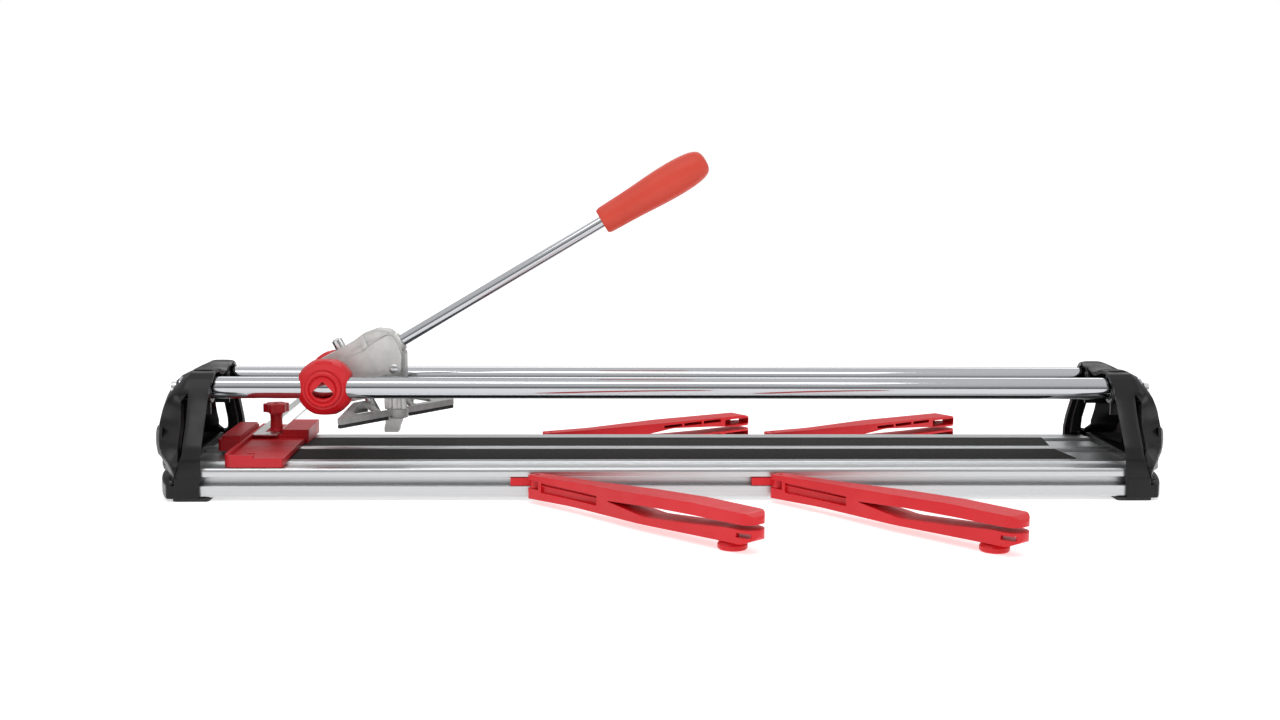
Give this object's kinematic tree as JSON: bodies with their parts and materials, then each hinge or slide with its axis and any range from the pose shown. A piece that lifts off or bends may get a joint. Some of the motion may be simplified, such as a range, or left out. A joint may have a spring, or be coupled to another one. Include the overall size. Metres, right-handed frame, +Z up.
{
  "type": "tile cutter",
  "caption": "Manual tile cutter with a padded aluminium bed, two guide rods between moulded towers, a sliding lever carriage with scoring wheel and breaker, a stop and swing-out supports.",
  "frame": {"origin": "centre of the bed's middle foot on the resting plane", "axes": "+X along the guide rods and the cut, towards the end without the stop; +Y across the bed, away from the side seen in front; +Z up"},
  "size_m": [0.8414, 0.522, 0.2777],
  "materials": {
    "anodised": "satin anodised, lines along the extrusion",
    "pad": "fine matt foam rubber",
    "black_plastic": "satin moulded",
    "rubber": "matt",
    "chrome": "polished hard chrome",
    "bright_steel": "zinc plated",
    "ruler_steel": "brushed",
    "dark_red": "satin moulded",
    "red_plastic": "semi gloss moulded",
    "grip": "soft satin",
    "cast_aluminium": "bead blasted light alloy casting",
    "grey_plastic": "satin"
  },
  "bodies": {
    "frame": {"base_profile": "anodised", "breaking_ridge": "anodised", "pad_near": "pad", "pad_far": "pad", "centre_foot": "rubber", "tower_left": "black_plastic", "tower_right": "black_plastic", "bumper_left": "black_plastic", "bumper_right": "black_plastic", "rod_screw_left_near": "bright_steel", "rod_screw_left_far": "bright_steel", "rod_screw_right_near": "bright_steel", "rod_screw_right_far": "bright_steel", "sole_left_near": "rubber", "sole_left_far": "rubber", "sole_right_near": "rubber", "sole_right_far": "rubber", "guide_rod_near": "chrome", "guide_rod_far": "chrome", "stop_plate": "dark_red", "stop_block": "dark_red", "clamp_stud": "bright_steel", "arm_lug_near_left": "red_plastic", "arm_lug_near_right": "red_plastic", "arm_lug_far_left": "red_plastic", "arm_lug_far_right": "red_plastic", "arm_pin_near_left": "bright_steel", "arm_pin_near_right": "bright_steel", "arm_pin_far_left": "bright_steel", "arm_pin_far_right": "bright_steel"},
    "knob": {"clamp_knob": "dark_red"},
    "ruler": {"ruler": "ruler_steel"},
    "carriage": {"slider_near": "red_plastic", "slider_far": "red_plastic", "slider_cap_near": "red_plastic", "slider_cap_far": "red_plastic", "pivot_shaft": "bright_steel"},
    "lever": {"head_casting": "cast_aluminium", "lever_tube": "chrome", "handle_grip": "grip", "wheel_holder": "bright_steel", "holder_nut": "bright_steel", "breaker_pin": "bright_steel", "wheel_axle": "bright_steel"},
    "wheel": {"scoring_wheel": "bright_steel"},
    "breaker": {"breaker_foot": "cast_aluminium"},
    "wings": {"breaker_wings": "grey_plastic", "wing_strip_left": "rubber", "wing_strip_right": "rubber"},
    "arm_near_left": {"arm_near_left": "red_plastic", "arm_foot_near_left": "red_plastic"},
    "arm_near_right": {"arm_near_right": "red_plastic", "arm_foot_near_right": "red_plastic"},
    "arm_far_left": {"arm_far_left": "red_plastic", "arm_foot_far_left": "red_plastic"},
    "arm_far_right": {"arm_far_right": "red_plastic", "arm_foot_far_right": "red_plastic"}
  },
  "joints": [
    {"name": "carriage_slide", "type": "slide", "parent": "frame", "child": "carriage", "axis": [1, 0, 0], "range_m": [-0.065, 0.581]},
    {"name": "lever_swing", "type": "hinge", "parent": "carriage", "child": "lever", "pos_m": [-0.279, 0, 0.0844], "axis": [0, -1, 0], "range_deg": [-14, 4]},
    {"name": "wheel_spin", "type": "hinge", "parent": "lever", "child": "wheel", "pos_m": [-0.2398, 0, 0.0555], "axis": [0, 1, 0], "continuous": true},
    {"name": "breaker_swing", "type": "hinge", "parent": "lever", "child": "breaker", "pos_m": [-0.225, 0, 0.097], "axis": [0, 1, 0], "range_deg": [-6, 0]},
    {"name": "wings_swivel", "type": "hinge", "parent": "breaker", "child": "wings", "pos_m": [-0.224, 0, 0.058], "axis": [0, 0, 1], "range_deg": [-2, 36.3]},
    {"name": "ruler_slide", "type": "slide", "parent": "frame", "child": "ruler", "axis": [0, 1, 0], "range_m": [-0.085, 0]},
    {"name": "knob_turn", "type": "hinge", "parent": "frame", "child": "knob", "pos_m": [-0.3322, 0.033, 0.05], "axis": [0, 0, 1], "range_deg": [-180, 180]},
    {"name": "arm_near_left_swing", "type": "hinge", "parent": "frame", "child": "arm_near_left", "pos_m": [-0.1035, -0.09, 0.0157], "axis": [0, 0, 1], "range_deg": [-127, 21]},
    {"name": "arm_near_right_swing", "type": "hinge", "parent": "frame", "child": "arm_near_right", "pos_m": [0.0895, -0.09, 0.0157], "axis": [0, 0, 1], "range_deg": [-29, 46]},
    {"name": "arm_far_left_swing", "type": "hinge", "parent": "frame", "child": "arm_far_left", "pos_m": [-0.097, 0.09, 0.0157], "axis": [0, 0, 1], "range_deg": [-18, 140]},
    {"name": "arm_far_right_swing", "type": "hinge", "parent": "frame", "child": "arm_far_right", "pos_m": [0.1045, 0.09, 0.0157], "axis": [0, 0, 1], "range_deg": [-28, 25]}
  ]
}
